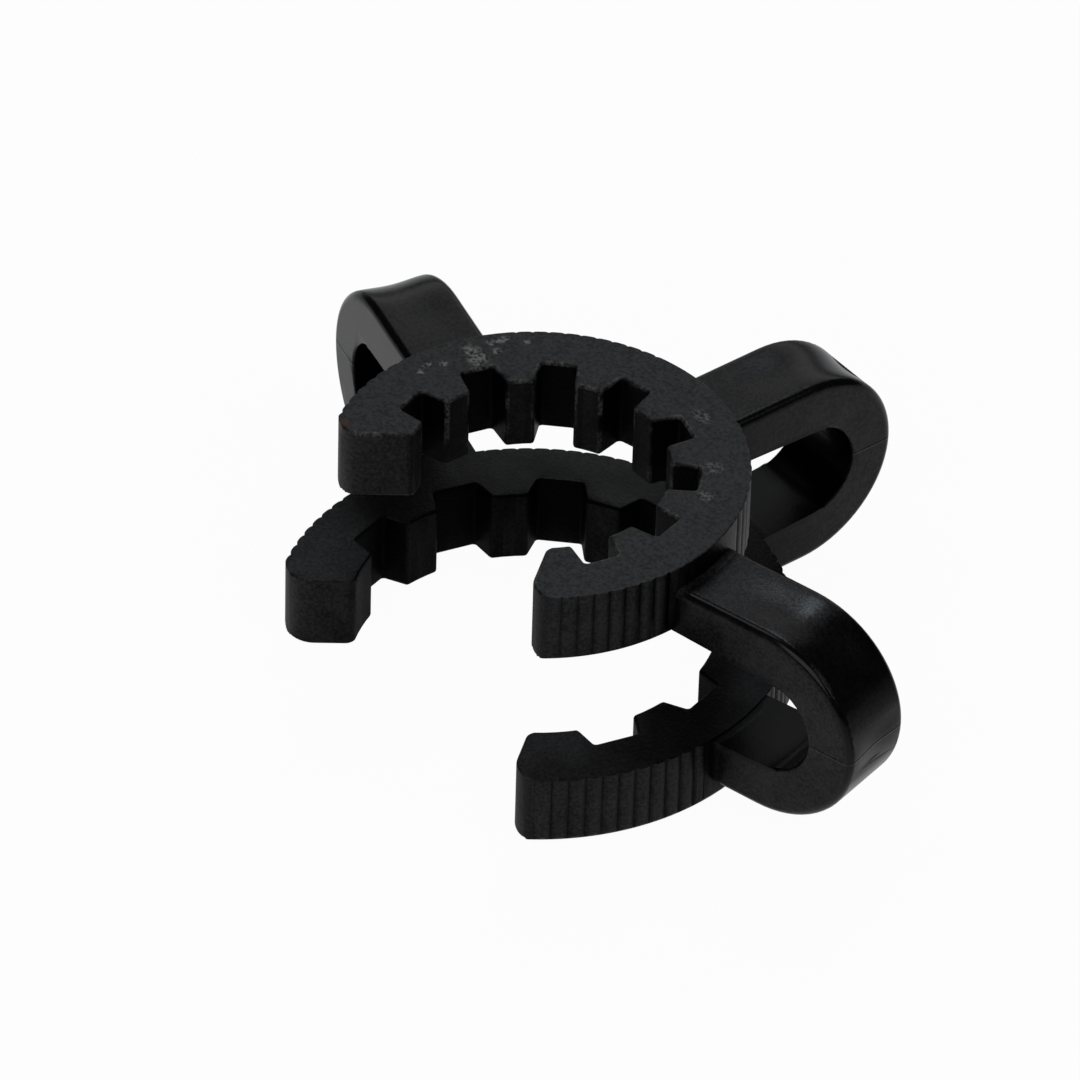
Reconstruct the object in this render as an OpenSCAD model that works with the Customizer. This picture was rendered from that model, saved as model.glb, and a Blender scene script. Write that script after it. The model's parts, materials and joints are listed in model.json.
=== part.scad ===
// Spring clip for a ground glass joint, moulded in one piece.
// A small toothed ring snaps round the tube above the cone, and a larger one
// snaps round the socket below it. Three hairpin springs join the two rings
// and pull them together, and both rings are open at the mouth.
// Z is the axis of the joint, the mouth faces -Y, and the large ring lies on Z = 0.

/* [Rings] */
// Height of each ring
ring_h = 4.1; // [3.9:0.1:4.3]
// Clear height between the two rings
ring_gap = 5.4; // [5.2:0.1:5.8]
// Outer radius of the small upper ring
upper_r = 10.5; // [10.3:0.1:10.7]
// Outer radius of the large lower ring
lower_r = 13; // [12.8:0.1:13.3]

/* [Teeth] */
// Radius of the tube that the upper teeth grip
upper_grip_r = 6.5; // [6.3:0.1:6.7]
// Radius of the socket that the lower teeth grip
lower_grip_r = 9.2; // [9:0.1:9.4]
// Depth of the notches between the upper teeth
upper_notch = 1.5; // [1.2:0.1:1.6]
// Depth of the notches between the lower teeth
lower_notch = 1.3; // [1.1:0.1:1.5]
// Half angle of an upper tooth's tip, in degrees
upper_tip_a = 6.3; // [5.8:0.1:6.6]
// Half angle of a lower tooth's tip, in degrees
lower_tip_a = 5.8; // [5.4:0.1:6.2]
// Half angle of a notch's floor, in degrees
notch_a = 6.3; // [5.8:0.1:6.6]
// Radius in the corners of a notch's floor
notch_round = 0.2; // [0.1:0.05:0.3]

/* [Mouth] */
// Angle of each end face to the line of symmetry
mouth_a = 37.5; // [36:0.5:39]
// Distance of the end faces' planes from the ring axis
mouth_set = 2.05; // [1.9:0.05:2.2]
// Radius on the outer upright corner of the upper ring's ends
upper_corner_r = 1.3; // [1:0.1:1.6]
// Radius on the outer upright corner of the lower ring's ends
lower_corner_r = 1.5; // [1:0.1:1.7]
// Radius on the inner upright corner of both rings' ends
inner_corner_r = 0.6; // [0.3:0.05:0.7]
// Radius under the end faces
end_foot_r = 0.45; // [0.2:0.05:0.5]

/* [Spring loops] */
// Angle from the back loop to each side loop
loop_a = 75.5; // [72:0.5:78]
// Width of the springs
loop_w = 4.5; // [4:0.1:4.8]
// Half the outer height of a loop, which is also the outer radius of its bend
loop_r = 5.5; // [5.3:0.05:5.6]
// Distance from the ring axis to the centre of the bend
bend_at = 15.55; // [15.2:0.05:15.8]
// Radius of the round end of the eye
eye_r = 2.65; // [2.5:0.05:2.8]
// How much farther out the eye's centre lies than the bend's
eye_shift = 0.25; // [0.1:0.05:0.4]
// How much the eye widens above and below on its way to the rings
eye_flare = 0.3; // [0:0.05:0.3]
// Radius on the outer long edges of the springs
loop_round = 0.45; // [0.2:0.05:0.6]

/* [Ribs on the outer wall] */
// Ribs in a full turn of the upper ring
upper_ribs = 80; // [72:4:88]
// Ribs in a full turn of the lower ring
lower_ribs = 96; // [88:4:104]
// Radius of a rib's rounded crest
rib_round = 0.7; // [0.6:0.05:0.8]

/* [Edges] */
// Radius round the lower outer edge of both rings
foot_round = 0.7; // [0.4:0.05:0.8]
// Radius round the upper outer edge of both rings
lip_round = 0.12; // [0.05:0.01:0.2]

/* [Hidden] */
$fn = 96;
TOOTH_PITCH = 30;
NOTCHES = 8;
BACK_A = 90;
// Depth of the plain core behind the rib crests, below the grooves' floors
CORE_SET = 0.3;
// How much wider the rounded blank is than the rib crests
BLANK_SET = 0.03;
// How far an end corner's circle reaches past the ring's own circle, so that the two cross
CROSSING = 0.02;
// How far a cutter or a root reaches past the face that it meets
REACH = 1;
mid_z = ring_h + ring_gap / 2;
upper_z = ring_h + ring_gap;

function polar(r, a) = [r * cos(a), r * sin(a)];

// One notch along +X between two teeth, with a flat floor and rounded corners.
module notch(grip_r, depth, tip_a) {
    floor_x = (grip_r + depth) * cos(notch_a);
    floor_y = (grip_r + depth) * sin(notch_a);
    tip_x = grip_r * cos(TOOTH_PITCH / 2 - tip_a);
    tip_y = grip_r * sin(TOOTH_PITCH / 2 - tip_a);
    slope = (floor_y - tip_y) / (floor_x - tip_x);
    flank = sqrt(1 + slope * slope);
    corner_x = floor_x - notch_round;
    corner_y = floor_y - notch_round * (slope + flank);
    touch_x = corner_x - notch_round * slope / flank;
    touch_y = corner_y + notch_round / flank;
    start_x = tip_x - REACH;
    start_y = tip_y - slope * REACH;
    polygon([
        [start_x, -start_y], [touch_x, -touch_y], [floor_x, -corner_y],
        [floor_x, corner_y], [touch_x, touch_y], [start_x, start_y]
    ]);
    for (side = [-1, 1])
        translate([corner_x, side * corner_y]) circle(notch_round);
}

// The bore of a ring: the circle that the teeth grip, and the notches between them.
module toothed_bore(grip_r, depth, tip_a) {
    circle(grip_r);
    for (i = [0 : NOTCHES - 1])
        rotate(BACK_A + (i - (NOTCHES - 1) / 2) * TOOTH_PITCH) notch(grip_r, depth, tip_a);
}

// A pie slice along +X, half_a to each side, that reaches past radius r.
module slice(r, half_a) {
    polygon([[0, 0], polar(r / cos(half_a), -half_a), polar(r / cos(half_a), half_a)]);
}

// The outer outline: rounded ribs, with plain wall where the springs grow out.
module ribbed_disc(r, ribs) {
    pitch = 360 / ribs;
    intersection() {
        circle(r);
        union() {
            circle(r - CORE_SET);
            for (i = [0 : ribs - 1])
                rotate((i + 0.5) * pitch) translate([r - rib_round, 0]) circle(rib_round);
            for (a = [-loop_a, 0, loop_a])
                rotate(BACK_A + a) slice(r + REACH, asin(loop_w / 2 / r) + pitch / 2);
        }
    }
}

// What the mouth takes away: a wedge that opens towards -Y.
module mouth_wedge(r) {
    apex_y = mouth_set / sin(mouth_a);
    side = 2 * r;
    polygon([
        [0, apex_y],
        [-side * sin(mouth_a), apex_y - side * cos(mouth_a)],
        [side * sin(mouth_a), apex_y - side * cos(mouth_a)]
    ]);
}

// What rounds the two upright corners of the right-hand end. In this frame +X is
// the end face's outward normal and +Y runs along the face, away from the ring axis.
module end_corners(r, grip_r, corner_r) {
    outer_at = r - corner_r + CROSSING;
    inner_at = grip_r + inner_corner_r - CROSSING;
    outer = [-mouth_set - corner_r, sqrt(pow(outer_at, 2) - pow(mouth_set + corner_r, 2))];
    inner = [
        -mouth_set - inner_corner_r,
        sqrt(pow(inner_at, 2) - pow(mouth_set + inner_corner_r, 2))
    ];
    past_x = REACH - mouth_set;
    difference() {
        polygon([outer, [past_x, outer.y], [past_x, r + REACH], outer * (r + REACH) / outer_at]);
        translate(outer) circle(corner_r);
    }
    difference() {
        polygon([
            inner, [past_x, inner.y], [past_x, inner.y - REACH],
            inner * (grip_r - REACH) / inner_at
        ]);
        translate(inner) circle(inner_corner_r);
    }
}

// What rounds the lower edge of the right-hand end face, in the frame of its corners.
module end_foot(r) {
    translate([-mouth_set, r + REACH, 0]) rotate([90, 0, 0]) linear_extrude(r + REACH)
        difference() {
            translate([-end_foot_r, -REACH]) square(end_foot_r + REACH);
            translate([-end_foot_r, end_foot_r]) circle(end_foot_r);
        }
}

// A ring's outline seen from above.
module ring_plan(r, ribs, grip_r, depth, tip_a, corner_r) {
    difference() {
        ribbed_disc(r, ribs);
        toothed_bore(grip_r, depth, tip_a);
        mouth_wedge(r);
        for (side = [0, 1])
            mirror([side, 0]) rotate(mouth_a - 180) end_corners(r, grip_r, corner_r);
    }
}

// A solid disc of a ring's height, with its two outer edges rounded. It is a touch
// larger than the ribs' crests, so that only the roundings cut them.
module ring_blank(r) {
    blank_r = r + BLANK_SET;
    rotate_extrude() {
        square([blank_r - foot_round, foot_round]);
        translate([0, foot_round]) square([blank_r, ring_h - foot_round - lip_round]);
        translate([0, ring_h - lip_round]) square([blank_r - lip_round, lip_round]);
        translate([blank_r - foot_round, foot_round]) circle(foot_round);
        translate([blank_r - lip_round, ring_h - lip_round]) circle(lip_round);
    }
}

// One C-shaped ring, standing on Z = 0.
module toothed_ring(r, ribs, grip_r, depth, tip_a, corner_r) {
    difference() {
        intersection() {
            ring_blank(r);
            linear_extrude(ring_h) ring_plan(r, ribs, grip_r, depth, tip_a, corner_r);
        }
        for (side = [0, 1])
            mirror([side, 0, 0]) rotate(mouth_a - 180) end_foot(r);
    }
}

// Half of a spring's section: its width along X, and its outer face up at loop_r.
module spring_section() {
    half_w = loop_w / 2;
    translate([-half_w, 0]) square([loop_w, loop_r - loop_round]);
    translate([loop_round - half_w, 0]) square([loop_w - 2 * loop_round, loop_r]);
    for (side = [-1, 1])
        translate([side * (half_w - loop_round), loop_r - loop_round]) circle(loop_round);
}

// The straight arm of a spring, from inside a ring's wall out to the bend.
module spring_arm(root_r) {
    translate([root_r, 0, 0]) rotate([90, 0, 90]) linear_extrude(bend_at - root_r) spring_section();
}

// The half-round end of a spring, still without its eye.
module spring_bend() {
    translate([bend_at, 0, 0]) rotate([90, 0, 0]) rotate([0, 0, -90]) rotate_extrude(angle = 180)
        intersection() {
            rotate(-90) spring_section();
            translate([0, -loop_w]) square([loop_r, 2 * loop_w]);
        }
}

// The long eye through a spring: round at the bend, and widening towards the rings.
module spring_eye(root_r) {
    eye_x = bend_at + eye_shift;
    half_h = eye_r + eye_flare;
    rotate([90, 0, 0]) linear_extrude(loop_w + 2 * REACH, center = true) {
        translate([eye_x, 0]) circle(eye_r);
        polygon([[eye_x, -eye_r], [eye_x, eye_r], [root_r, half_h], [root_r, -half_h]]);
    }
}

// One hairpin spring along +X, centred on the middle height of the clip.
module spring_loop() {
    upper_root = upper_r - REACH;
    lower_root = lower_r - REACH;
    difference() {
        union() {
            spring_arm(upper_root);
            mirror([0, 0, 1]) spring_arm(lower_root);
            spring_bend();
        }
        spring_eye(upper_root - REACH);
    }
}

// The whole clip, one solid.
module joint_clip() {
    color("#1b1b1d") {
        toothed_ring(lower_r, lower_ribs, lower_grip_r, lower_notch, lower_tip_a, lower_corner_r);
        translate([0, 0, upper_z])
            toothed_ring(upper_r, upper_ribs, upper_grip_r, upper_notch, upper_tip_a, upper_corner_r);
        for (a = [-loop_a, 0, loop_a])
            translate([0, 0, mid_z]) rotate([0, 0, BACK_A + a]) spring_loop();
    }
}

joint_clip();
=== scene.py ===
"""Looks for the moulded plastic clip of a ground glass joint.

The clip is one solid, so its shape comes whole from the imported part. This script dresses it in its
moulded plastic, eases the sharp edges as a real mould does, and sets up the stage, the lamps and the
camera. All lengths are in metres, in the frame of the part: Z is the axis of the joint and the mouth
faces -Y. A Span gives the value at which a ramp is 0 and the one at which it is 1.
"""

from __future__ import annotations

import json
import logging
import math
from dataclasses import dataclass
from enum import Enum
from functools import reduce
from typing import Iterable

import bmesh
import bpy
from mathutils import Matrix, Vector
from mathutils.bvhtree import BVHTree

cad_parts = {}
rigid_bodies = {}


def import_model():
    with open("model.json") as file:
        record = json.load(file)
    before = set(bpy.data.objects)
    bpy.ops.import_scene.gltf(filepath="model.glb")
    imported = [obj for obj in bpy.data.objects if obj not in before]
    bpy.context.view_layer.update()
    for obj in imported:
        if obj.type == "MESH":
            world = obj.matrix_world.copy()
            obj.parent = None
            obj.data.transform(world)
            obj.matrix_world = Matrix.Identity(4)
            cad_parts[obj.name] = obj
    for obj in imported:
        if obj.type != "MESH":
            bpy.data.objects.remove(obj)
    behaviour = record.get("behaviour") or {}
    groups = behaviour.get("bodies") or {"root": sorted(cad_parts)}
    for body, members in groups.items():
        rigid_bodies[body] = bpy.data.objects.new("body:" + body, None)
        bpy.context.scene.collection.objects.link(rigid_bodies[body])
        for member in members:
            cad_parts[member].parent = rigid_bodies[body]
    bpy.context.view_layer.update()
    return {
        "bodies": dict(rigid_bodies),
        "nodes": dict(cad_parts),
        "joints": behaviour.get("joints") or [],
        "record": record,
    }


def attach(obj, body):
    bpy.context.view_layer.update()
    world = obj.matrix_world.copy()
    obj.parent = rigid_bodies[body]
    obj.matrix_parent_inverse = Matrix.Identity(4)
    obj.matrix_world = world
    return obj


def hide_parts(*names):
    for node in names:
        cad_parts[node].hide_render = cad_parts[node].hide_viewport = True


LOG = logging.getLogger("clip")
MM = 0.001
# Distance from the ring axis to the centre of each spring's bend
BEND_AT = 15.55 * MM
# Middle height of the clip, where the springs turn and the two halves of the mould met
MIDDLE = 6.8 * MM
# Height of the upper ring's top face
TOP = 13.6 * MM

Colour = tuple[float, float, float]
Place = tuple[float, float, float]
Span = tuple[float, float]
Socket = bpy.types.NodeSocket


class Mark(Enum):
    """The attributes that the clip's own mesh carries for its material."""

    EASED_EDGES = "eased_edges"
    OPEN = "openness"


class Op(Enum):
    """The operations of a Math node."""

    ADD = "ADD"
    SUBTRACT = "SUBTRACT"
    MULTIPLY = "MULTIPLY"
    MULTIPLY_ADD = "MULTIPLY_ADD"
    DIVIDE = "DIVIDE"
    MAXIMUM = "MAXIMUM"
    ABSOLUTE = "ABSOLUTE"
    ROOT = "SQRT"


def towards(azimuth: float, elevation: float) -> Vector:
    """Gives the direction from the clip to something that looks at it.

    Args:
        azimuth: its angle round the clip in degrees, from the front towards the right.
        elevation: its angle above the floor in degrees.

    Returns:
        The direction, of length 1.
    """
    turn, tilt = math.radians(azimuth), math.radians(elevation)
    flat = math.cos(tilt)
    return Vector((math.sin(turn) * flat, -math.cos(turn) * flat, math.sin(tilt)))


def cut_faces(
    work: bmesh.types.BMesh,
    faces: Iterable[bmesh.types.BMFace],
    place: Vector,
    across: Vector,
    weld: float,
) -> None:
    """Cuts some of a mesh's faces along a plane.

    Args:
        work: the mesh.
        faces: the faces to cut.
        place: a point on the plane.
        across: the plane's normal.
        weld: how near a point counts as lying on the plane.
    """
    chosen = list(faces)
    edges = {edge for face in chosen for edge in face.edges}
    points = {point for face in chosen for point in face.verts}
    bmesh.ops.bisect_plane(
        work, geom=[*chosen, *edges, *points], dist=weld, plane_co=place, plane_no=across
    )


class Graph:
    """A short way to write a node tree."""

    def __init__(self, owner: bpy.types.Material | bpy.types.World) -> None:
        """Empties the owner's tree.

        Args:
            owner: the material or world whose nodes are written.
        """
        owner.use_nodes = True
        self.tree = owner.node_tree
        self.tree.nodes.clear()

    def node(self, kind: str, **settings: object) -> bpy.types.Node:
        """Adds a node.

        Args:
            kind: the node's type, without its ShaderNode prefix.
            **settings: properties to set on the node.

        Returns:
            The new node.
        """
        made = self.tree.nodes.new("ShaderNode" + kind)
        for key, value in settings.items():
            setattr(made, key, value)
        return made

    def feed(self, target: Socket, value: object) -> None:
        """Links a socket into target, or sets target to a plain value.

        Args:
            target: the input to fill.
            value: a socket, a number or a colour.
        """
        if isinstance(value, bpy.types.NodeSocket):
            self.tree.links.new(value, target)
        else:
            target.default_value = value

    def math(self, operation: Op, *values: object) -> Socket:
        """Adds a Math node.

        Args:
            operation: what the node works out.
            *values: its inputs in order.

        Returns:
            The result.
        """
        made = self.node("Math", operation=operation.value)
        for target, value in zip(made.inputs, values):
            self.feed(target, value)
        return made.outputs[0]

    def product(self, *values: object) -> Socket:
        """Multiplies two or more values."""
        return reduce(lambda total, value: self.math(Op.MULTIPLY, total, value), values)

    def scaled(self, value: object, factor: float, offset: object) -> Socket:
        """Multiplies a value by a factor and then adds an offset."""
        return self.math(Op.MULTIPLY_ADD, value, factor, offset)

    def hypot(self, first: Socket, second: Socket) -> Socket:
        """Gives the length of the vector that two values make."""
        squares = [self.product(side, side) for side in (first, second)]
        return self.math(Op.ROOT, self.math(Op.ADD, *squares))

    def ramp(self, value: object, span: Span) -> Socket:
        """Turns a value into 0 at one end of a span and 1 at the other, with soft ends.

        Args:
            value: the value to read.
            span: where the result is 0, and where it is 1. The second may be the smaller.

        Returns:
            The result, from 0 to 1.
        """
        made = self.node("MapRange", interpolation_type="SMOOTHSTEP")
        falls = span[0] > span[1]
        self.feed(made.inputs["Value"], value)
        made.inputs["From Min"].default_value = min(span)
        made.inputs["From Max"].default_value = max(span)
        made.inputs["To Min"].default_value = 1.0 if falls else 0.0
        made.inputs["To Max"].default_value = 0.0 if falls else 1.0
        return made.outputs["Result"]

    def noise(self, place: Socket, size: float, roughness: float, detail: float = 3.0) -> Socket:
        """Adds soft noise.

        Args:
            place: the coordinates to read.
            size: the size of one patch, in metres.
            roughness: how strong the finer layers are.
            detail: how many finer layers are added.

        Returns:
            The noise, from 0 to 1.
        """
        made = self.node("TexNoise", normalize=True)
        self.feed(made.inputs["Vector"], place)
        made.inputs["Scale"].default_value = 1.0 / size
        made.inputs["Detail"].default_value = detail
        made.inputs["Roughness"].default_value = roughness
        return made.outputs["Fac"]

    def mark(self, mark: Mark) -> Socket:
        """Reads one of the mesh's own attributes."""
        return self.node("Attribute", attribute_name=mark.value).outputs["Fac"]

    def mix(self, amount: object, below: object, above: object) -> Socket:
        """Lays one colour over another.

        Args:
            amount: how much of the upper colour shows.
            below: the lower colour.
            above: the upper colour.

        Returns:
            The joined colour.
        """
        made = self.node("Mix", data_type="RGBA")
        self.feed(made.inputs["Factor"], amount)
        for name, value in (("A", below), ("B", above)):
            target = next(s for s in made.inputs if s.name == name and s.type == "RGBA")
            self.feed(target, (*value, 1.0) if isinstance(value, tuple) else value)
        return next(s for s in made.outputs if s.type == "RGBA")

    def blob(self, place: Socket, centre: Place, reach: Place, core: float = 0.4) -> Socket:
        """Marks a soft-edged spot.

        Args:
            place: the coordinates to read.
            centre: the middle of the spot.
            reach: its half size along X, Y and Z.
            core: the share of the reach within which the spot is full.

        Returns:
            1 in the middle of the spot and 0 outside it.
        """
        shift = self.node("VectorMath", operation="SUBTRACT")
        self.feed(shift.inputs[0], place)
        shift.inputs[1].default_value = centre
        scale = self.node("VectorMath", operation="DIVIDE")
        self.feed(scale.inputs[0], shift.outputs[0])
        scale.inputs[1].default_value = reach
        size = self.node("VectorMath", operation="LENGTH")
        self.feed(size.inputs[0], scale.outputs[0])
        return self.ramp(size.outputs["Value"], (1.0, core))


@dataclass(frozen=True)
class Spot:
    """What the plastic knows about the spot that it shades.

    Outwards is how squarely its face looks away from the ring axis, and in_plane is how nearly
    the face's normal lies in the plane through that axis. The latter is 1 on the springs' outer
    faces and 0 on their flanks.
    """

    place: Socket
    height: Socket
    radius: Socket
    past_wall: Socket
    from_bend: Socket
    outwards: Socket
    in_plane: Socket
    upward: Socket
    spring: Socket
    outer_side: Socket
    raised: Socket
    openness: Socket
    clear: Socket
    grain: Socket
    mottle: Socket


@dataclass(frozen=True)
class Features:
    """Where the clip's features lie, so that the plastic can tell them apart."""

    upper_wall: float = 10.65 * MM
    lower_wall_further: float = 2.5 * MM
    between_rings: Span = (7.0 * MM, 6.6 * MM)
    spring_past_wall: Span = (0.0, 0.35 * MM)
    outer_skin: Span = (4.2 * MM, 4.6 * MM)
    facing_up: Span = (0.75, 0.95)
    raised: Span = (5.0 * MM, 13.4 * MM)
    # Openness below which faces get painted shade and lose gloss
    clear: Span = (0.6, 1.0)
    grain: float = 0.18 * MM
    grain_roughness: float = 0.6
    mottle: float = 1.5 * MM
    mottle_roughness: float = 0.5

    def read(self, graph: Graph) -> Spot:
        """Works out everything that the plastic needs to know about a spot.

        Args:
            graph: the material's node tree.

        Returns:
            The values.
        """
        source = graph.node("TexCoord").outputs
        place, normal = (graph.node("SeparateXYZ") for _ in range(2))
        graph.feed(place.inputs[0], source["Object"])
        graph.feed(normal.inputs[0], source["Normal"])
        across, back, height = place.outputs
        radius = graph.hypot(across, back)
        lower = graph.ramp(height, self.between_rings)
        wall = graph.scaled(lower, self.lower_wall_further, self.upper_wall)
        past_wall = graph.math(Op.SUBTRACT, radius, wall)
        spring = graph.ramp(past_wall, self.spring_past_wall)
        past_bend = graph.math(Op.MAXIMUM, graph.math(Op.SUBTRACT, radius, BEND_AT), 0.0)
        from_bend = graph.hypot(past_bend, graph.math(Op.SUBTRACT, height, MIDDLE))
        facing = [graph.product(across, normal.outputs[0]), graph.product(back, normal.outputs[1])]
        outwards = graph.math(Op.DIVIDE, graph.math(Op.ADD, *facing), radius)
        openness = graph.mark(Mark.OPEN)
        return Spot(
            place=source["Object"],
            height=height,
            radius=radius,
            past_wall=past_wall,
            from_bend=from_bend,
            outwards=outwards,
            in_plane=graph.hypot(outwards, normal.outputs[2]),
            upward=graph.ramp(normal.outputs[2], self.facing_up),
            spring=spring,
            outer_side=graph.product(spring, graph.ramp(from_bend, self.outer_skin)),
            raised=graph.ramp(height, self.raised),
            openness=openness,
            clear=graph.ramp(openness, self.clear),
            grain=graph.noise(source["Object"], self.grain, self.grain_roughness),
            mottle=graph.noise(source["Object"], self.mottle, self.mottle_roughness),
        )


@dataclass(frozen=True)
class Body:
    """The black plastic: grainy in the open, with painted shade in crevices, in rib grooves and on
    the springs' outer faces.
    """

    # Painted shade: the colour that closed-in faces, rib grooves and the springs' outer faces turn
    # to
    crevice_shade: Colour = (0.0008, 0.0008, 0.0009)
    dark: Colour = (0.0035, 0.0035, 0.0038)
    light: Colour = (0.0155, 0.0155, 0.0165)
    grain: Span = (0.3, 0.7)
    grain_share: float = 0.7
    mottle: Span = (0.3, 0.7)
    mottle_share: float = 0.6
    darker: float = 0.1
    # Painted shade on the springs' outer faces
    shaded_outer_faces: Span = (0.3, 0.75)
    outer_face_shade: float = 0.85
    # Painted shade in the grooves between the ribs
    groove: Span = (-0.19 * MM, -0.42 * MM)
    groove_faces: Span = (0.4, 0.7)
    groove_shade: float = 0.92

    def colour(self, graph: Graph, spot: Spot) -> Socket:
        """Mixes the plastic's colour, with painted shade where faces are closed in, in rib grooves
        and on the springs' outer faces.

        Args:
            graph: the material's node tree.
            spot: what is known about the spot.

        Returns:
            The colour.
        """
        speckle = graph.scaled(graph.ramp(spot.grain, self.grain), self.grain_share, -self.darker)
        patchy = graph.scaled(graph.ramp(spot.mottle, self.mottle), self.mottle_share, speckle)
        # Painted shade: the springs' outer faces are painted darker
        outer_face_shade = graph.product(
            graph.ramp(spot.in_plane, self.shaded_outer_faces), spot.outer_side, self.outer_face_shade
        )
        # Painted shade: the rib grooves that face outwards are painted darker
        groove = graph.product(
            graph.ramp(spot.past_wall, self.groove),
            graph.ramp(spot.outwards, self.groove_faces),
            self.groove_shade,
        )
        unshaded = graph.math(Op.SUBTRACT, 1.0, graph.math(Op.MAXIMUM, outer_face_shade, groove))
        colour = graph.mix(patchy, self.dark, self.light)
        # Painted shade: where faces are closed in, the colour turns to the crevice shade
        return graph.mix(graph.product(spot.clear, unshaded), self.crevice_shade, colour)


@dataclass(frozen=True)
class DustFilmAndShade:
    """The pale dust layer on faces that look up, with painted shade: it thins where faces are closed
    in.
    """

    colour: Colour = (0.0168, 0.0171, 0.0178)
    low_down: float = 0.1
    on_springs: float = 0.05
    grain: Span = (0.3, 0.7)
    # Painted shade: the openness over which the dust layer thins out
    shade_where_closed: Span = (0.5, 0.9)
    patch_contrast: float = 1.5
    patch_least: float = 0.3

    def amount(self, graph: Graph, spot: Spot) -> Socket:
        """Tells how thickly the dust layer lies, thinned as painted shade where faces are closed in.

        Args:
            graph: the material's node tree.
            spot: what is known about the spot.

        Returns:
            The share of the dust layer and its painted shade in the colour.
        """
        return graph.product(
            spot.upward,
            graph.scaled(spot.raised, 1.0 - self.low_down, self.low_down),
            graph.scaled(spot.spring, self.on_springs - 1.0, 1.0),
            graph.ramp(spot.grain, self.grain),
            # Painted shade: closed-in faces get less of the pale dust layer
            graph.ramp(spot.openness, self.shade_where_closed),
            graph.scaled(spot.mottle, self.patch_contrast, self.patch_least),
        )


@dataclass(frozen=True)
class Speck:
    """A pale scuff or crumb of dust on the upper ring's top, measured in millimetres."""

    across: float
    back: float
    half_width: float
    half_depth: float
    strength: float = 1.0
    half_height: float = 1.0

    def mark(self, graph: Graph, place: Socket) -> Socket:
        """Marks the speck.

        Args:
            graph: the material's node tree.
            place: the object's own coordinates.

        Returns:
            How strong the speck is there.
        """
        centre = (self.across * MM, self.back * MM, TOP)
        reach = (self.half_width * MM, self.half_depth * MM, self.half_height * MM)
        return graph.product(graph.blob(place, centre, reach), self.strength)


@dataclass(frozen=True)
class ScuffsAndHighlights:
    """Pale marks: specks on the upper ring, and eased edges painted pale, partly worn and partly
    painted highlight.
    """

    # Pale colour of the specks, and of the worn edges with their painted highlight
    colour: Colour = (0.13, 0.13, 0.12)
    crumbs: float = 0.18 * MM
    crumb_roughness: float = 0.5
    broken: Span = (0.38, 0.62)
    worn_and_highlit: float = 0.4
    edge_patches: Span = (0.42, 0.62)
    edge_grain: Span = (0.3, 0.7)
    specks: tuple[Speck, ...] = (
        Speck(-8.7, 2.75, 1.1, 0.6),
        Speck(-8.2, 2.3, 0.6, 0.4, strength=0.8),
        Speck(-9.4, 0.24, 0.2, 0.35, strength=0.9),
        Speck(-9.0, 0.97, 0.3, 0.3, strength=0.9),
        Speck(-9.17, -0.39, 0.35, 0.25, strength=0.9),
        Speck(-8.96, 3.91, 0.35, 0.3, strength=0.9),
        Speck(-8.82, 4.5, 0.3, 0.55),
        Speck(-8.25, 3.74, 0.3, 0.35, strength=0.8),
        Speck(-7.94, 5.4, 0.25, 0.3, strength=0.9),
        Speck(1.9, 8.8, 0.8, 0.5, strength=0.5),
        Speck(5.4, 6.7, 0.6, 0.7, strength=0.5),
        Speck(6.9, 5.0, 0.6, 0.5, strength=0.5),
    )

    def worn_and_highlit_edges(self, graph: Graph, spot: Spot) -> Socket:
        """Tells how pale the eased edges are painted, partly worn and partly painted highlight.

        Args:
            graph: the material's node tree.
            spot: what is known about the spot.

        Returns:
            The scuffs' share of the colour.
        """
        # Painted highlight, partly worn edges: eased edges high up are painted pale
        return graph.product(
            graph.mark(Mark.EASED_EDGES),
            graph.ramp(spot.mottle, self.edge_patches),
            graph.ramp(spot.grain, self.edge_grain),
            spot.raised,
            self.worn_and_highlit,
        )

    def on_top(self, graph: Graph, spot: Spot) -> Socket:
        """Marks the specks, broken up by fine noise.

        Args:
            graph: the material's node tree.
            spot: what is known about the spot.

        Returns:
            The specks' share of the colour.
        """
        total: object = 0.0
        for speck in self.specks:
            total = graph.math(Op.MAXIMUM, speck.mark(graph, spot.place), total)
        crumbs = graph.noise(spot.place, self.crumbs, self.crumb_roughness)
        return graph.product(total, graph.ramp(crumbs, self.broken))


@dataclass(frozen=True)
class Fleck:
    """A brown fleck on the left end of the upper ring."""

    colour: Colour = (0.05, 0.018, 0.009)
    centre: Place = (-8.1 * MM, -5.8 * MM, 13.3 * MM)
    reach: Place = (0.45 * MM, 0.45 * MM, 0.55 * MM)

    def amount(self, graph: Graph, spot: Spot) -> Socket:
        """Tells how much of the fleck shows at a spot."""
        return graph.blob(spot.place, self.centre, self.reach)


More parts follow.
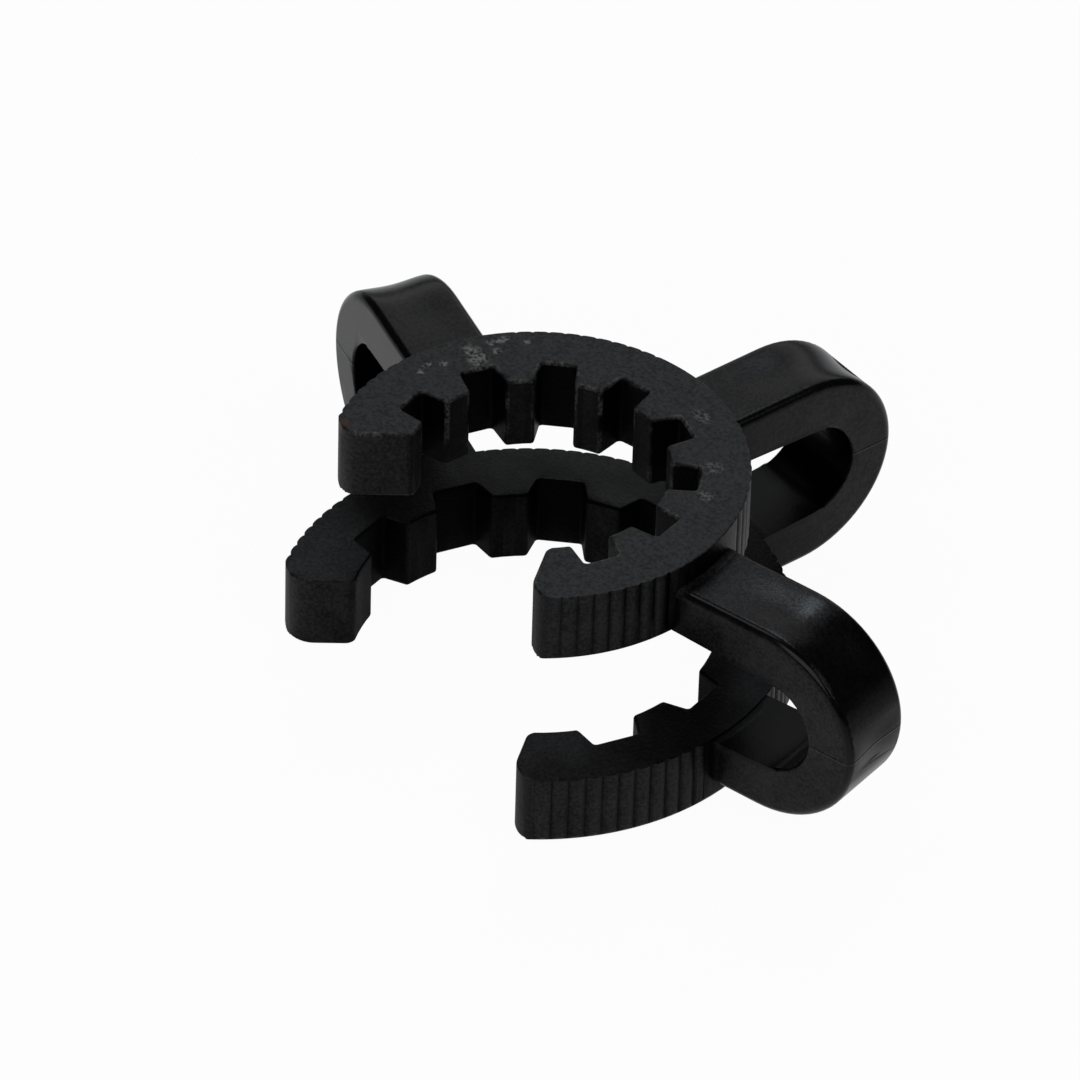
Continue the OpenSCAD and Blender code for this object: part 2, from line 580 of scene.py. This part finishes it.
@dataclass(frozen=True)
class Gloss:
    """How the plastic shines: pores dull it, long edges have most of it, and closed-in faces and the
    springs' eyes get painted shade on their reflections.
    """

    specular: float = 0.14
    open_tint: Colour = (0.75, 0.75, 0.75)
    # Painted shade: the reflection tint of closed-in faces
    deep_tint: Colour = (0.05, 0.05, 0.05)
    edge_tint: Colour = (1.0, 1.0, 1.0)
    lit: Span = (0.5, 0.7)
    eye: Span = (3.0 * MM, 2.9 * MM)
    pores: Span = (0.34, 0.66)
    in_pores: float = 0.33
    edge_from: Span = (0.15, 0.5)
    edge_to: Span = (0.99, 0.85)
    ring_roughness: float = 0.46
    spring_roughness: float = 0.25
    patchiness: float = 0.12
    edge_smoother: float = 0.08

    def long_edges(self, graph: Graph, spot: Spot) -> Socket:
        """Finds the rounded long edges of the springs.

        Args:
            graph: the material's node tree.
            spot: what is known about the spot.

        Returns:
            1 on the rounded edges and 0 elsewhere.
        """
        return graph.product(
            graph.ramp(spot.in_plane, self.edge_from),
            graph.ramp(spot.in_plane, self.edge_to),
            spot.outer_side,
        )

    def tint(self, graph: Graph, spot: Spot) -> Socket:
        """Tells how much the plastic reflects when it is looked at straight on.

        Args:
            graph: the material's node tree.
            spot: what is known about the spot.

        Returns:
            The tint of its reflections.
        """
        # Painted shade on the reflections: closed-in faces and the insides of the springs' eyes
        # reflect less
        lit = graph.product(spot.upward, graph.ramp(spot.openness, self.lit))
        eye_shade = graph.product(spot.spring, graph.ramp(spot.from_bend, self.eye))
        shown = graph.math(Op.SUBTRACT, graph.math(Op.MAXIMUM, spot.clear, lit), eye_shade)
        pores = graph.scaled(graph.ramp(spot.grain, self.pores), 1.0 - self.in_pores, self.in_pores)
        tint = graph.mix(graph.product(shown, pores), self.deep_tint, self.open_tint)
        return graph.mix(self.long_edges(graph, spot), tint, self.edge_tint)

    def roughness(self, graph: Graph, spot: Spot) -> Socket:
        """Tells how rough the plastic is.

        Args:
            graph: the material's node tree.
            spot: what is known about the spot.

        Returns:
            The roughness.
        """
        smoother = self.spring_roughness - self.ring_roughness
        rough = graph.scaled(spot.spring, smoother, self.ring_roughness)
        patches = graph.scaled(spot.mottle, self.patchiness, -self.patchiness / 2.0)
        edges = graph.product(self.long_edges(graph, spot), self.edge_smoother)
        return graph.math(Op.SUBTRACT, graph.math(Op.ADD, rough, patches), edges)


@dataclass(frozen=True)
class Relief:
    """The fine relief: the grain, and the line on the bends where the mould parts."""

    depth: float = 0.03 * MM
    grain_on_springs: float = 0.2
    seam_height: float = 1.5
    seam: Span = (0.07 * MM, 0.02 * MM)
    seam_from: Span = (14.0 * MM, 15.0 * MM)

    def normal(self, graph: Graph, spot: Spot) -> Socket:
        """Tilts the surface with the relief.

        Args:
            graph: the material's node tree.
            spot: what is known about the spot.

        Returns:
            The tilted normal.
        """
        from_seam = graph.math(Op.ABSOLUTE, graph.math(Op.SUBTRACT, spot.height, MIDDLE))
        seam = graph.product(
            graph.ramp(from_seam, self.seam),
            graph.ramp(spot.radius, self.seam_from),
            self.seam_height,
        )
        fade = graph.scaled(spot.spring, self.grain_on_springs - 1.0, 1.0)
        bump = graph.node("Bump")
        bump.inputs["Strength"].default_value = 1.0
        bump.inputs["Distance"].default_value = self.depth
        height = graph.math(Op.ADD, graph.product(spot.grain, fade), seam)
        graph.feed(bump.inputs["Height"], height)
        return bump.outputs["Normal"]


@dataclass(frozen=True)
class MouldedPlastic:
    """Black moulded plastic: grainy on the rings' faces, smoother on the springs."""

    name: str = "moulded_plastic"
    features: Features = Features()
    body: Body = Body()
    dust_and_shade: DustFilmAndShade = DustFilmAndShade()
    scuffs_and_highlights: ScuffsAndHighlights = ScuffsAndHighlights()
    fleck: Fleck = Fleck()
    gloss: Gloss = Gloss()
    relief: Relief = Relief()

    def colour(self, graph: Graph, spot: Spot) -> Socket:
        """Lays the dust layer with its painted shade, the specks, the pale edges with their painted
        highlight, and the fleck over the plastic.

        Args:
            graph: the material's node tree.
            spot: what is known about the spot.

        Returns:
            The colour.
        """
        colour = self.body.colour(graph, spot)
        layers = (
            (self.dust_and_shade.amount(graph, spot), self.dust_and_shade.colour),
            (self.scuffs_and_highlights.worn_and_highlit_edges(graph, spot), self.scuffs_and_highlights.colour),
            (self.scuffs_and_highlights.on_top(graph, spot), self.scuffs_and_highlights.colour),
            (self.fleck.amount(graph, spot), self.fleck.colour),
        )
        for amount, above in layers:
            colour = graph.mix(amount, colour, above)
        return colour

    def material(self) -> bpy.types.Material:
        """Writes the material.

        Returns:
            The finished material.
        """
        made = bpy.data.materials.new(self.name)
        graph = Graph(made)
        spot = self.features.read(graph)
        shader = graph.node("BsdfPrincipled")
        graph.feed(shader.inputs["Base Color"], self.colour(graph, spot))
        graph.feed(shader.inputs["Roughness"], self.gloss.roughness(graph, spot))
        graph.feed(shader.inputs["Normal"], self.relief.normal(graph, spot))
        shader.inputs["Specular IOR Level"].default_value = self.gloss.specular
        # The plain value stays behind the link, for a reader that drops linked tints.
        shader.inputs["Specular Tint"].default_value = (*self.gloss.open_tint, 1.0)
        graph.feed(shader.inputs["Specular Tint"], self.gloss.tint(graph, spot))
        output = graph.node("OutputMaterial")
        graph.feed(output.inputs["Surface"], shader.outputs["BSDF"])
        return made


@dataclass(frozen=True)
class Easing:
    """How softly the mould leaves the clip's sharp outer edges. The angles are in degrees."""

    width: float = 0.17 * MM
    segments: int = 3
    profile: float = 0.5
    sharpest: float = 50.0
    crease: float = 28.0
    same_place: float = 0.004 * MM
    same_plane: float = 0.5


@dataclass(frozen=True)
class Ring:
    """Where one ring's ribbed wall stands, which keeps its edges as they are cut."""

    floor: float
    roof: float
    outer: float
    past_corner: float
    rib_depth: float = 0.36 * MM

    def holds(self, spot: Vector) -> bool:
        """Tells whether a spot lies on the ribbed wall.

        Args:
            spot: the place to test.

        Returns:
            True on the ribs, and False on the bore, the end faces and their rounded corners.
        """
        from_mouth = abs(math.degrees(math.atan2(spot.x, -spot.y)))
        if not self.floor < spot.z < self.roof or from_mouth <= self.past_corner:
            return False
        return math.hypot(spot.x, spot.y) > self.outer - self.rib_depth


@dataclass(frozen=True)
class SpringLoop:
    """One hairpin spring, turned from +X in degrees, whose bend has shrunk a little."""

    turn: float
    bend_radius: float = 5.5 * MM
    half_flat: float = 1.8 * MM
    root: float = 9.33 * MM
    near: float = 12.0 * MM
    full: float = 15.0 * MM
    depth: float = 0.11 * MM
    strips: int = 12
    steps: int = 6
    slack: float = 0.015 * MM
    weld: float = 0.0015 * MM

    def frame(self) -> Matrix:
        """Gives the turn from the spring's own frame to the clip's."""
        return Matrix.Rotation(math.radians(self.turn), 3, "Z")

    def local(self, spot: Vector) -> Vector:
        """Turns a spot into the spring's own frame: outwards, across and up."""
        turned = Matrix.Rotation(math.radians(-self.turn), 3, "Z") @ spot
        return Vector((turned.x, turned.y, turned.z - MIDDLE))

    def is_outside(self, spot: Vector) -> bool:
        """Tells whether a spot lies on the flat of the spring's outer face.

        Args:
            spot: the place to test.

        Returns:
            True on the outer face of the arms and the bend, between their rounded edges.
        """
        own = self.local(spot)
        if own.x < self.root or abs(own.y) > self.half_flat + self.slack:
            return False
        reach = abs(own.z) if own.x < BEND_AT else math.hypot(own.x - BEND_AT, own.z)
        return abs(reach - self.bend_radius) < self.slack

    def outer_faces(self, work: bmesh.types.BMesh) -> list[bmesh.types.BMFace]:
        """Finds the faces of the spring's outer side."""
        return [f for f in work.faces if all(self.is_outside(v.co) for v in f.verts)]

    def divide(self, work: bmesh.types.BMesh) -> None:
        """Cuts the outer faces into a grid that is fine enough to bend.

        Args:
            work: the mesh.
        """
        along, sideways = (self.frame() @ Vector(axis) for axis in ((1, 0, 0), (0, 1, 0)))
        for count in range(1, self.strips):
            place = sideways * (self.half_flat * (2.0 * count / self.strips - 1.0))
            cut_faces(work, self.outer_faces(work), place, sideways, self.weld)
        for count in range(self.steps + 1):
            place = along * (self.near + (BEND_AT - self.near) * count / self.steps)
            cut_faces(work, self.outer_faces(work), place, along, self.weld)

    def sink(self, work: bmesh.types.BMesh) -> None:
        """Draws the middle of the outer face in, most at the bend.

        Args:
            work: the mesh.
        """
        self.divide(work)
        frame = self.frame()
        for point in {v for f in self.outer_faces(work) for v in f.verts}:
            own = self.local(point.co)
            share = min(max((own.x - self.near) / (self.full - self.near), 0.0), 1.0)
            grown = share * share * (3.0 - 2.0 * share)
            bowl = max(1.0 - (own.y / self.half_flat) ** 2, 0.0) ** 2
            inwards = Vector((BEND_AT - max(own.x, BEND_AT), 0.0, -own.z)).normalized()
            point.co += frame @ (inwards * (self.depth * bowl * grown))


@dataclass(frozen=True)
class Shelter:
    """How open the faces lie, felt out with rays. Where they are closed in, the plastic gets painted
    shade: a darker colour, less of its dust layer and weaker reflections.
    """

    rays: int = 32
    reach: float = 20.0 * MM
    lift: float = 0.01 * MM
    cell: float = 1.2 * MM
    wide: float = 2.0 * MM * MM
    inset: float = 0.15

    def directions(self) -> list[Vector]:
        """Spreads the rays over the upper half of a sphere.

        Returns:
            One direction for each ray, denser towards the pole.
        """
        golden = math.pi * (3.0 - math.sqrt(5.0))
        spread = []
        for count in range(self.rays):
            share = (count + 0.5) / self.rays
            turn = golden * count
            flat = math.sqrt(share)
            spread.append(
                Vector((flat * math.cos(turn), flat * math.sin(turn), math.sqrt(1.0 - share)))
            )
        return spread

    def divide(self, work: bmesh.types.BMesh) -> bmesh.types.BMLayerItem:
        """Cuts the wide faces into cells, so that the shelter can vary across them.

        Args:
            work: the mesh.

        Returns:
            The layer that holds 1 on the cells and 0 elsewhere.
        """
        layer = work.faces.layers.int.new("cell")
        for face in work.faces:
            face[layer] = int(face.calc_area() > self.wide)
        for axis in range(3):
            across = Vector([float(axis == side) for side in range(3)])
            ends = [vert.co[axis] for vert in work.verts]
            for count in range(math.ceil(min(ends) / self.cell), math.ceil(max(ends) / self.cell)):
                cells = [face for face in work.faces if face[layer]]
                cut_faces(work, cells, across * (count * self.cell), across, self.lift)
        return layer

    def mark(self, work: bmesh.types.BMesh) -> None:
        """Writes the openness of each face, or of each corner of a cell, to its corners.

        Args:
            work: the mesh.
        """
        cells = self.divide(work)
        work.normal_update()
        tree = BVHTree.FromBMesh(work)
        layer = work.loops.layers.float.new(Mark.OPEN.value)
        spread = self.directions()
        for face in work.faces:
            turned = Vector((0.0, 0.0, 1.0)).rotation_difference(face.normal)
            aims = [turned @ aim for aim in spread]
            centre = face.calc_center_median()
            free = 0.0
            for corner in face.loops:
                if face[cells] or corner == face.loops[0]:
                    start = corner.vert.co.lerp(centre, self.inset if face[cells] else 1.0)
                    start += face.normal * self.lift
                    free = sum(tree.ray_cast(start, aim, self.reach)[0] is None for aim in aims)
                corner[layer] = free / self.rays


@dataclass
class JointClip:
    """The clip itself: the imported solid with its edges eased."""

    node: str = "joint_clip"
    finish: MouldedPlastic = MouldedPlastic()
    easing: Easing = Easing()
    shelter: Shelter = Shelter()
    rings: tuple[Ring, ...] = (
        Ring(floor=-0.1 * MM, roof=4.2 * MM, outer=13.0 * MM, past_corner=50.0),
        Ring(floor=9.4 * MM, roof=13.7 * MM, outer=10.5 * MM, past_corner=53.0),
    )
    loops: tuple[SpringLoop, ...] = (
        SpringLoop(turn=14.5),
        SpringLoop(turn=90.0),
        SpringLoop(turn=165.5),
    )

    def is_eased(self, edge: bmesh.types.BMEdge) -> bool:
        """Tells whether an edge is a sharp outer one that the mould leaves soft.

        Args:
            edge: the edge to test.

        Returns:
            True for the edges of the bores, teeth, end faces and eyes.
        """
        if not edge.is_manifold:
            return False
        if edge.calc_face_angle_signed() < math.radians(self.easing.sharpest):
            return False
        return not any(ring.holds(point.co) for ring in self.rings for point in edge.verts)

    def merge(self, work: bmesh.types.BMesh) -> None:
        """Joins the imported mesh's loose triangles into whole faces.

        Args:
            work: the mesh.
        """
        bmesh.ops.remove_doubles(work, verts=work.verts[:], dist=self.easing.same_place)
        bmesh.ops.dissolve_limit(
            work,
            angle_limit=math.radians(self.easing.same_plane),
            verts=work.verts[:],
            edges=work.edges[:],
        )

    def ease(self, work: bmesh.types.BMesh) -> None:
        """Rounds the sharp outer edges, and marks the roundings, which the plastic paints pale,
        partly worn and partly painted highlight.

        Args:
            work: the mesh.
        """
        chosen = [edge for edge in work.edges if self.is_eased(edge)]
        LOG.info("%d edges eased", len(chosen))
        eased = bmesh.ops.bevel(
            work,
            geom=chosen,
            offset=self.easing.width,
            offset_type="OFFSET",
            affect="EDGES",
            segments=self.easing.segments,
            profile=self.easing.profile,
            material=-1,
            clamp_overlap=False,
        )
        eased_mark = work.loops.layers.float.new(Mark.EASED_EDGES.value)
        for face in eased["faces"]:
            for corner in face.loops:
                corner[eased_mark] = 1.0

    def mesh(self, source: bpy.types.Mesh) -> bpy.types.Mesh:
        """Makes the clip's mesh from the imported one.

        Args:
            source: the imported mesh.

        Returns:
            The new mesh.
        """
        work = bmesh.new()
        work.from_mesh(source)
        self.merge(work)
        self.ease(work)
        for loop in self.loops:
            loop.sink(work)
        self.shelter.mark(work)
        for face in work.faces:
            face.smooth = True
        for edge in work.edges:
            edge.smooth = edge.calc_face_angle(math.pi) < math.radians(self.easing.crease)
        made = bpy.data.meshes.new(self.node + "_eased")
        work.to_mesh(made)
        work.free()
        return made

    def build(self, nodes: dict[str, bpy.types.Object]) -> bpy.types.Object:
        """Makes the eased clip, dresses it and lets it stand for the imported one.

        Args:
            nodes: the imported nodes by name.

        Returns:
            The finished clip.
        """
        clip = bpy.data.objects.new(self.node + "_moulded", self.mesh(nodes[self.node].data))
        bpy.context.scene.collection.objects.link(clip)
        clip.data.materials.append(self.finish.material())
        even = clip.modifiers.new("even_normals", "WEIGHTED_NORMAL")
        even.keep_sharp = True
        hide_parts(self.node)
        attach(clip, "root")
        return clip


@dataclass
class Viewpoint:
    """The camera: a long lens that looks down on the clip from its front right."""

    target: Place = (0.0, 0.0, MIDDLE)
    azimuth: float = 51.27
    elevation: float = 39.35
    roll: float = 1.67
    distance: float = 471.4 * MM
    lens: float = 316.6
    sensor: float = 36.0
    aside: float = 0.2226 * MM
    upward: float = 1.454 * MM
    nearest: float = 0.1
    farthest: float = 10.0

    def camera(self) -> bpy.types.Object:
        """Makes the camera and gives it to the scene.

        Returns:
            The camera.
        """
        turn, roll = math.radians(self.azimuth), math.radians(self.roll)
        back = towards(self.azimuth, self.elevation)
        level = Vector((math.cos(turn), math.sin(turn), 0.0))
        upright = back.cross(level)
        right = level * math.cos(roll) + upright * math.sin(roll)
        up = upright * math.cos(roll) - level * math.sin(roll)
        place = Vector(self.target) + back * self.distance + right * self.aside + up * self.upward
        data = bpy.data.cameras.new("camera")
        data.lens = self.lens
        data.sensor_width = self.sensor
        data.clip_start = self.distance * self.nearest
        data.clip_end = self.distance * self.farthest
        camera = bpy.data.objects.new("camera", data)
        bpy.context.scene.collection.objects.link(camera)
        turned = Matrix((right, up, back)).transposed().to_4x4()
        camera.matrix_world = Matrix.Translation(place) @ turned
        bpy.context.scene.camera = camera
        return camera


@dataclass(frozen=True)
class Lamp:
    """One soft lamp that points at the clip. Its size is in metres and its power in watts."""

    name: str
    azimuth: float
    elevation: float
    size: float
    power: float
    tall: float = 1.0
    colour: Colour = (1.0, 1.0, 1.0)
    distance: float = 0.5

    def hang(self, target: Vector) -> bpy.types.Object:
        """Makes the lamp.

        Args:
            target: the point that it faces.

        Returns:
            The lamp.
        """
        back = towards(self.azimuth, self.elevation)
        data = bpy.data.lights.new(self.name, "AREA")
        data.shape = "RECTANGLE"
        data.size = self.size
        data.size_y = self.size * self.tall
        data.energy = self.power
        data.color = self.colour
        lamp = bpy.data.objects.new(self.name, data)
        lamp.location = target + back * self.distance
        lamp.rotation_mode = "QUATERNION"
        lamp.rotation_quaternion = back.to_track_quat("Z", "Y")
        bpy.context.scene.collection.objects.link(lamp)
        return lamp


@dataclass
class Studio:
    """The pale floor, the even surround and the lamps."""

    floor_half: float = 0.6
    floor_colour: Colour = (0.8, 0.8, 0.8)
    floor_glow: float = 0.96
    from_under_clip: Span = (8.0 * MM, 16.0 * MM)
    fades_out: Span = (70.0 * MM, 30.0 * MM)
    mirrored_glow: float = 0.6
    surround: float = 0.03
    lamps: tuple[Lamp, ...] = (
        Lamp("softbox", 225.0, 32.0, size=0.4, power=0.46),
        Lamp("back", 212.0, 66.0, size=0.16, power=0.16),
        Lamp("spot", 224.0, 55.0, size=0.09, power=0.32, colour=(0.78, 0.9, 1.0)),
        Lamp("right", 118.0, 50.0, size=0.2, power=0.25),
        Lamp("left", 300.0, 66.0, size=0.2, power=0.3),
        Lamp("window", 88.0, 38.0, size=0.05, power=0.2, tall=4.0),
        Lamp("front", 30.0, 36.0, size=0.4, power=0.95, tall=0.9),
    )

    def floor_finish(self) -> bpy.types.Material:
        """Writes the floor's material, which is near white where the camera sees it.

        The clip's gloss sees a dimmer glow, only in a ring round the clip: the floor under the
        clip lies in its shade, and the floor far away is out of the light.

        Returns:
            The material.
        """
        made = bpy.data.materials.new("floor")
        graph = Graph(made)
        path = graph.node("LightPath").outputs
        mirrored = graph.math(Op.MAXIMUM, path["Is Glossy Ray"], path["Is Transmission Ray"])
        away = graph.node("VectorMath", operation="LENGTH")
        graph.feed(away.inputs[0], graph.node("TexCoord").outputs["Object"])
        in_gloss = graph.product(
            mirrored,
            graph.ramp(away.outputs["Value"], self.from_under_clip),
            graph.ramp(away.outputs["Value"], self.fades_out),
            self.mirrored_glow,
        )
        in_view = graph.product(path["Is Camera Ray"], self.floor_glow)
        matt = graph.node("BsdfDiffuse")
        matt.inputs["Color"].default_value = (*self.floor_colour, 1.0)
        white = graph.node("Emission")
        white.inputs["Strength"].default_value = 1.0
        both = graph.node("MixShader")
        graph.feed(both.inputs[0], graph.math(Op.MAXIMUM, in_view, in_gloss))
        graph.feed(both.inputs[1], matt.outputs[0])
        graph.feed(both.inputs[2], white.outputs[0])
        output = graph.node("OutputMaterial")
        graph.feed(output.inputs["Surface"], both.outputs[0])
        return made

    def floor(self) -> bpy.types.Object:
        """Lays the floor under the clip.

        Returns:
            The floor.
        """
        work = bmesh.new()
        bmesh.ops.create_grid(work, x_segments=1, y_segments=1, size=self.floor_half)
        mesh = bpy.data.meshes.new("floor")
        work.to_mesh(mesh)
        work.free()
        mesh.materials.append(self.floor_finish())
        floor = bpy.data.objects.new("floor", mesh)
        bpy.context.scene.collection.objects.link(floor)
        return floor

    def world(self) -> None:
        """Sets the dim surround, which is white where the camera sees it."""
        world = bpy.data.worlds.new("surround")
        bpy.context.scene.world = world
        graph = Graph(world)
        path = graph.node("LightPath").outputs
        seen = graph.math(Op.MAXIMUM, path["Is Camera Ray"], path["Is Transmission Ray"])
        sky = graph.node("Background")
        sky.inputs["Color"].default_value = (1.0, 1.0, 1.0, 1.0)
        graph.feed(sky.inputs["Strength"], graph.scaled(seen, 1.0 - self.surround, self.surround))
        output = graph.node("OutputWorld")
        graph.feed(output.inputs["Surface"], sky.outputs[0])

    def build(self, target: Vector) -> None:
        """Sets up the whole studio.

        Args:
            target: the point that the lamps face.
        """
        self.floor()
        self.world()
        for lamp in self.lamps:
            lamp.hang(target)
        bpy.context.scene.view_settings.view_transform = "Standard"


def main() -> None:
    """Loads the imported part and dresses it."""
    logging.basicConfig(level=logging.INFO, format="%(name)s: %(message)s")
    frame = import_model()
    clip = JointClip().build(frame["nodes"])
    LOG.info("%s built", clip.name)
    view = Viewpoint()
    view.camera()
    Studio().build(Vector(view.target))


if __name__ == "__main__":
    main()
